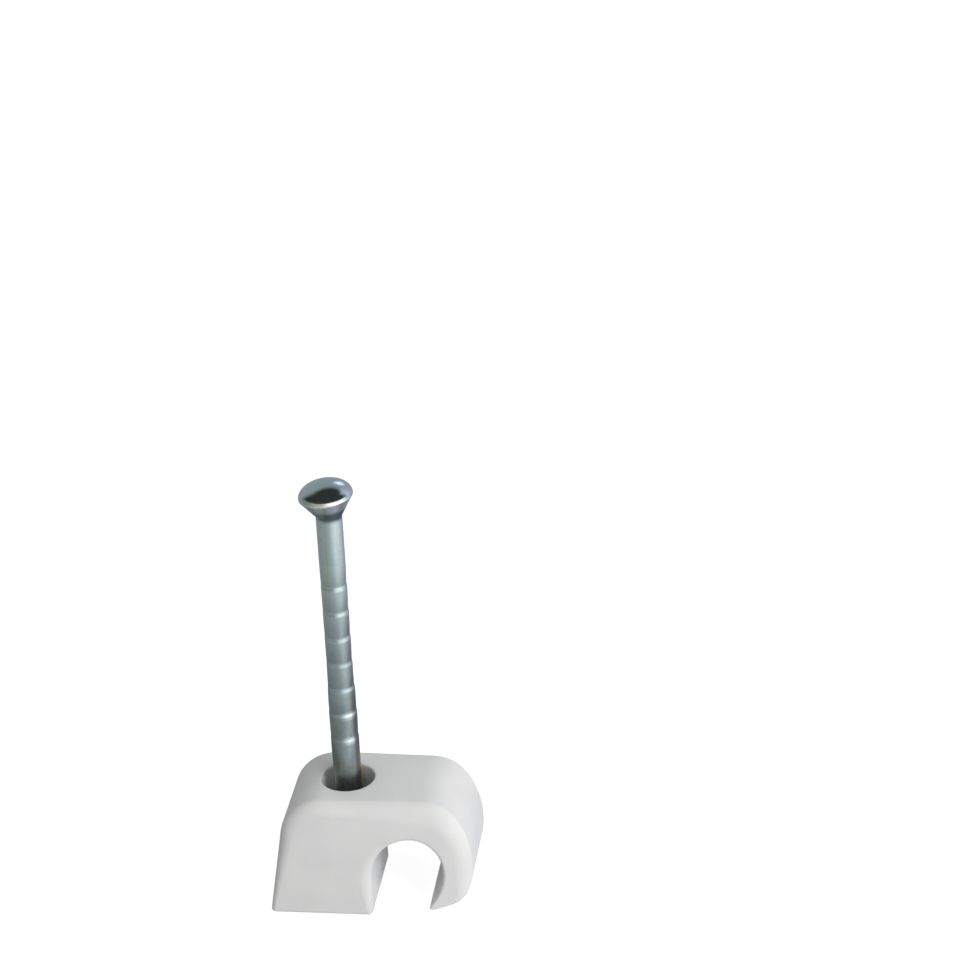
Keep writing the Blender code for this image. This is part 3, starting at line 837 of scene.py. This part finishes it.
def zinc_material(nail_x):
    """Bright zinc plate on drawn wire: draw lines, green and blue clouding, a rougher neck, painted shade
    on neck and shank, painted highlights on rings, rim and cone.
    """
    material, nodes, shader = new_material("nail_zinc_plate")
    place = nodes.coordinates("Object")
    x, y, height = nodes.split(place)
    from_axis, radius = around_nail(nodes, x, y, nail_x)
    lit_way = towards(nodes, from_axis, y, LIT_SIDE)
    facing = nodes.math("DIVIDE", lit_way, radius)
    sideways = nodes.math("DIVIDE", from_axis, radius)
    patches = nodes.noise(place, *PATCHES)
    lines = nodes.noise(place, *DRAW_LINES)
    pits = nodes.noise(place, *PITS)
    spangle = nodes.noise(place, *SPANGLE)

    base = nodes.mix(nodes.spread(patches, *ZINC_BLUE_RANGE), ZINC_GREEN, ZINC_BLUE)
    bright = nodes.spread(spangle, *ZINC_BRIGHT_RANGE, 0.0, ZINC_BRIGHT_SHARE)
    base = nodes.mix(bright, base, ZINC_BRIGHT)
    drawn = nodes.spread(lines, *ZINC_DRAWN_RANGE, 0.0, ZINC_DRAWN_SHARE)
    base = nodes.mix(drawn, base, ZINC_DRAWN)

    # Painted shade: each stretch between two rings is darker towards the ring below it
    along = nodes.math("DIVIDE", nodes.math("SUBTRACT", height, FIRST_RING), RING_PITCH)
    share = nodes.math("FRACT", along)
    ringed = nodes.between(along, RINGED_FROM, RINGED_TO)
    base = nodes.tint(base, ZINC_RING_SHADE, nodes.fade(share, *RING_SHADED_STRETCH), ringed, ZINC_RING_SHADE_SHARE)

    # Painted shade darkens the neck under the head, most on the lit side
    neck = nodes.product(
        nodes.between(height, NECK_FROM, NECK_TO), nodes.spread(facing, *NECK_FACING, NECK_LEAST, 1.0)
    )
    base = nodes.tint(base, ZINC_NECK_SHADE, neck, ZINC_NECK_SHADE_SHARE)

    # Painted highlights: bright glints on the ledges of the lowest rings, on the lit side
    on_ledge = nodes.math(
        "MAXIMUM", nodes.spread(share, *LEDGE_BELOW), nodes.fade(share, *LEDGE_ABOVE)
    )
    lowest = nodes.product(nodes.fade(along, *RING_GLINT_TO), nodes.spread(along, *RING_GLINT_FROM))
    ring_glint = nodes.product(on_ledge, lowest, nodes.spread(facing, *RING_GLINT_FACING))
    base = nodes.tint(base, ZINC_RING_GLINT, ring_glint, ZINC_RING_GLINT_SHARE)

    # Painted shade darkens the shank towards the hole it stands in on the hook's side, where it mirrors
    # shaded surroundings; just above the hole the shank is darker all round, reaching higher away from the
    # lit side
    lower_shank_shade = nodes.fade(height, *LOWER_SHANK_SHADE_TOP, LOWER_SHANK_SHADE_SHARE)
    base = nodes.tint(base, ZINC_LOW_SHANK_DARK, lower_shank_shade, nodes.spread(sideways, *LOWER_SHANK_SHADE_SIDE))
    slanted = nodes.math("ADD", height, nodes.product(lit_way, SEATED_SLANT))
    base = nodes.tint(base, ZINC_LOW_SHANK_DARK, nodes.fade(slanted, *SEATED_TOP), SEATED_SHARE)

    # Painted highlight lights the struck rim on the lit side, broken by pits, and painted reflection
    # lights the cone under it on the hook's side
    rim = nodes.product(
        nodes.spread(radius, *RIM_REACH),
        nodes.spread(pits, *RIM_PITTED_RANGE, RIM_PITTED_LEAST, 1.0),
        nodes.spread(facing, *RIM_FACING),
    )
    base = nodes.tint(base, ZINC_HEAD_HIGHLIGHT, rim, ZINC_HEAD_HIGHLIGHT_SHARE)
    cone = nodes.between(height, CONE_FROM, CONE_TO)
    base = nodes.tint(base, ZINC_HEAD_HIGHLIGHT, cone, nodes.spread(sideways, *CONE_SIDE), ZINC_HEAD_HIGHLIGHT_SHARE)
    nodes.link(base, shader.inputs["Base Color"])

    rough = nodes.product(
        nodes.spread(patches, *ZINC_ROUGHNESS_RANGE, *ZINC_ROUGHNESS),
        nodes.spread(height, *CONE_TO, 1.0, DOME_POLISH),
    )
    drawn_rough = nodes.product(nodes.spread(lines, *DRAWN_ROUGHNESS_RANGE), DRAWN_ROUGHNESS)
    rough = nodes.math("ADD", rough, drawn_rough)
    rough = nodes.math("ADD", rough, nodes.product(neck, NECK_ROUGHNESS))
    nodes.link(rough, shader.inputs["Roughness"])
    drawn_normal = nodes.bump(lines, *DRAWN_BUMP)
    nodes.link(nodes.bump(pits, *PIT_BUMP, drawn_normal), shader.inputs["Normal"])
    shader.inputs["Metallic"].default_value = 1.0
    return material


def emptied(tree, output_kind):
    """Short hand for a tree that holds only an output, and that output's surface."""
    tree.nodes.clear()
    nodes = Nodes(tree)
    return nodes, nodes.add(output_kind).inputs["Surface"]


def ray_kinds(nodes):
    """Whether a ray comes straight from the eye or through glass, and whether metal mirrored it."""
    path = nodes.add("ShaderNodeLightPath")
    seen = nodes.math("MAXIMUM", path.outputs["Is Camera Ray"], path.outputs["Is Transmission Ray"])
    return seen, path.outputs["Is Glossy Ray"]


def bearing_of(nodes, x, y):
    """The bearing in radians, from -Y towards +X."""
    return nodes.math("ARCTAN2", x, nodes.math("MULTIPLY", y, -1.0))


def mirrored_colour(nodes, bearing):
    """The colour that metal mirrors, brightest on the key light's side and grey on the far side."""
    ramp = nodes.add("ShaderNodeValToRGB")
    ramp.color_ramp.interpolation = "B_SPLINE"
    nodes.link(nodes.math("ADD", nodes.math("DIVIDE", bearing, TURN), 0.5), ramp.inputs["Fac"])
    stops = ramp.color_ramp.elements
    for degrees, _, _ in MIRRORED[1:-1]:
        stops.new(degrees / 360.0 + 0.5)
    for stop, (_, level, tint) in zip(stops, MIRRORED):
        stop.color = (tint[0] * level, tint[1] * level, tint[2] * level, 1.0)
    return ramp.outputs["Color"]


def mirrored_lamp(nodes, direction, level):
    """The soft lamp that metal mirrors, brightest in its own direction."""
    closeness = nodes.vector_math("DOT_PRODUCT", direction, MIRRORED_LAMP_DIRECTION)
    return nodes.spread(closeness, *MIRRORED_LAMP_EDGE, 0.0, level)


def stage_material(nail_x):
    """A pale floor that keeps a soft shadow; metal mirrors it darker close to the clip.

    It is dark right under the nail, where it is only seen down the hole.
    """
    material = bpy.data.materials.new("studio_floor")
    material.use_nodes = True
    nodes, surface = emptied(material.node_tree, "ShaderNodeOutputMaterial")
    seen, glossy = ray_kinds(nodes)
    place = nodes.coordinates("Object")
    diffuse = nodes.shader("ShaderNodeBsdfDiffuse", Color=(FLOOR_ALBEDO, FLOOR_ALBEDO, FLOOR_ALBEDO, 1.0))
    from_nail = nodes.vector_math("DISTANCE", place, (nail_x, 0.0, 0.0))
    glow_level = nodes.product(nodes.spread(from_nail, *FLOOR_UNDER_NAIL), FLOOR_GLOW)
    glow = nodes.shader("ShaderNodeEmission", Strength=nodes.product(seen, glow_level))
    lit = nodes.add_shaders(diffuse, glow)

    x, y, _ = nodes.split(place)
    bearing = bearing_of(nodes, x, y)
    away = nodes.vector_math("LENGTH", place)
    on_right = nodes.between(bearing, FLOOR_RIGHT_FROM, FLOOR_RIGHT_TO)
    right_shade = nodes.fade(away, *FLOOR_RIGHT_NEAR, FLOOR_RIGHT_SHADE)
    lit_share = nodes.math("SUBTRACT", 1.0, nodes.product(on_right, right_shade))
    level = nodes.product(nodes.spread(away, *FLOOR_NEAR, FLOOR_NEAR_LEVEL, 1.0), lit_share)
    level = nodes.math("ADD", level, nodes.fade(away, *FLOOR_UNDER_HEAD, FLOOR_UNDER_HEAD_LEVEL))
    in_front = nodes.fade(y, *FLOOR_FRONT, FLOOR_FAR_SHADE)
    far_shade = nodes.product(nodes.spread(away, *FLOOR_FAR), in_front)
    level = nodes.product(level, nodes.math("SUBTRACT", 1.0, far_shade))
    lamp = mirrored_lamp(nodes, nodes.vector_math("NORMALIZE", place), MIRRORED_LAMP_ON_FLOOR)
    level = nodes.math("ADD", level, nodes.product(lamp, nodes.spread(away, *FLOOR_LAMP)))
    mirrored = nodes.shader(
        "ShaderNodeEmission",
        Color=mirrored_colour(nodes, bearing),
        Strength=nodes.product(level, MIRRORED_LEVEL),
    )
    nodes.link(nodes.choose(glossy, lit, mirrored), surface)
    return material


def make_world():
    """An even fill, white to the eye, and dark overhead where metal mirrors it."""
    world = bpy.data.worlds.new("studio")
    world.use_nodes = True
    nodes, surface = emptied(world.node_tree, "ShaderNodeOutputWorld")
    seen, glossy = ray_kinds(nodes)

    # Metal mirrors the surroundings up to a low height in front and a greater one behind
    direction = nodes.coordinates("Generated")
    x, y, height = nodes.split(direction)
    behind = nodes.product(nodes.fade(height, *BAND_TOP_BEHIND), nodes.spread(y, *BEHIND))
    in_front = nodes.fade(height, *BAND_TOP_IN_FRONT, BAND_LEVEL_IN_FRONT)
    lamp = nodes.product(mirrored_lamp(nodes, direction, MIRRORED_LAMP_LEVEL), in_front)
    in_window = nodes.vector_math("DOT_PRODUCT", direction, MIRRORED_WINDOW_DIRECTION)

    band = nodes.shader(
        "ShaderNodeBackground",
        Color=mirrored_colour(nodes, bearing_of(nodes, x, y)),
        Strength=nodes.product(nodes.math("MAXIMUM", in_front, behind), MIRRORED_LEVEL),
    )
    overhead = nodes.shader(
        "ShaderNodeBackground",
        Color=OVERHEAD_COLOUR,
        Strength=nodes.math("ADD", lamp, MIRRORED_OVERHEAD),
    )
    window = nodes.shader(
        "ShaderNodeBackground",
        Color=MIRRORED_WINDOW_COLOUR,
        Strength=nodes.spread(in_window, *MIRRORED_WINDOW_EDGE),
    )
    mirrored = nodes.add_shaders(nodes.add_shaders(band, overhead), window)
    fill = nodes.shader("ShaderNodeBackground", Color=WHITE, Strength=WORLD_FILL)
    white = nodes.shader("ShaderNodeBackground", Color=WHITE)
    nodes.link(nodes.choose(seen, nodes.choose(glossy, fill, mirrored), white), surface)
    bpy.context.scene.world = world


def make_studio(nail_x):
    """One soft key light, an even fill from the world, and the floor."""
    make_world()
    mesh = bpy.data.meshes.new("floor")
    corners = [(-1, -1), (1, -1), (1, 1), (-1, 1)]
    mesh.from_pydata([(x * FLOOR_REACH, y * FLOOR_REACH, 0.0) for x, y in corners], [], [(0, 1, 2, 3)])
    mesh.materials.append(stage_material(nail_x))
    floor = new_object("floor", mesh)
    floor.location.z = -FLOOR_BELOW

    data = bpy.data.lights.new("key", "AREA")
    data.shape = "RECTANGLE"
    data.size, data.size_y = KEY_SIZE
    data.energy = KEY_LEVEL * (math.pi * KEY_DISTANCE) ** 2
    key = new_object("key", data)
    key.location = TARGET + KEY_DIRECTION.normalized() * KEY_DISTANCE
    key.rotation_euler = (TARGET - key.location).to_track_quat("-Z", "Y").to_euler()
    key.visible_camera = False
    key.visible_glossy = False


def make_camera():
    forward = Vector(
        (
            math.sin(CAMERA_YAW) * math.cos(CAMERA_PITCH),
            math.cos(CAMERA_YAW) * math.cos(CAMERA_PITCH),
            -math.sin(CAMERA_PITCH),
        )
    )
    level_right = Vector((math.cos(CAMERA_YAW), -math.sin(CAMERA_YAW), 0.0))
    level_up = level_right.cross(forward)
    right = level_right * math.cos(CAMERA_ROLL) - level_up * math.sin(CAMERA_ROLL)
    up = level_right * math.sin(CAMERA_ROLL) + level_up * math.cos(CAMERA_ROLL)
    data = bpy.data.cameras.new("photo_camera")
    data.lens = CAMERA_LENS
    data.sensor_width = CAMERA_SENSOR
    data.clip_start, data.clip_end = CAMERA_CLIP
    camera = new_object("photo_camera", data)
    turn = Matrix((right, up, -forward)).transposed()
    camera.matrix_world = Matrix.Translation(CAMERA_LOCATION) @ turn.to_4x4()
    bpy.context.scene.camera = camera


def make_body():
    low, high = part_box("clip_body")
    bm = body_mesh(body_outline())
    cut_at_wall(bm)
    left = min(vert.co.x for vert in bm.verts)
    right = max(vert.co.x for vert in bm.verts)
    nail_x = NAIL_FROM_SIDE + high.x - right
    for vert in bm.verts:
        vert.co.x = low.x + (vert.co.x - left) * (high.x - low.x) / (right - left)
        vert.co.z = max(vert.co.z, low.z)
    body = mesh_object("clip_body_moulded", bm, plastic_material(nail_x))
    cutter = mesh_object("hole_cutter", lathe(hole_profile(), nail_x, HOLE_SEGMENTS))
    cut = body.modifiers.new("nail_hole", "BOOLEAN")
    cut.operation = "DIFFERENCE"
    cut.solver = "EXACT"
    cut.object = cutter
    finish_mesh(body)
    bpy.data.objects.remove(cutter, do_unlink=True)
    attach(body, "root")
    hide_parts("clip_body")
    return nail_x


def make_nail(nail_x):
    bm = lathe(nail_profile(), nail_x, NAIL_SEGMENTS, ring_depth)
    tilt_head(bm, nail_x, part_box("nail")[1].z)
    nail = mesh_object("nail_zinc", bm, zinc_material(nail_x))
    finish_mesh(nail)
    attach(nail, "root")
    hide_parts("nail")


nail_x = make_body()
make_nail(nail_x)
make_studio(nail_x)
make_camera()
bpy.context.scene.view_settings.view_transform = "Standard"
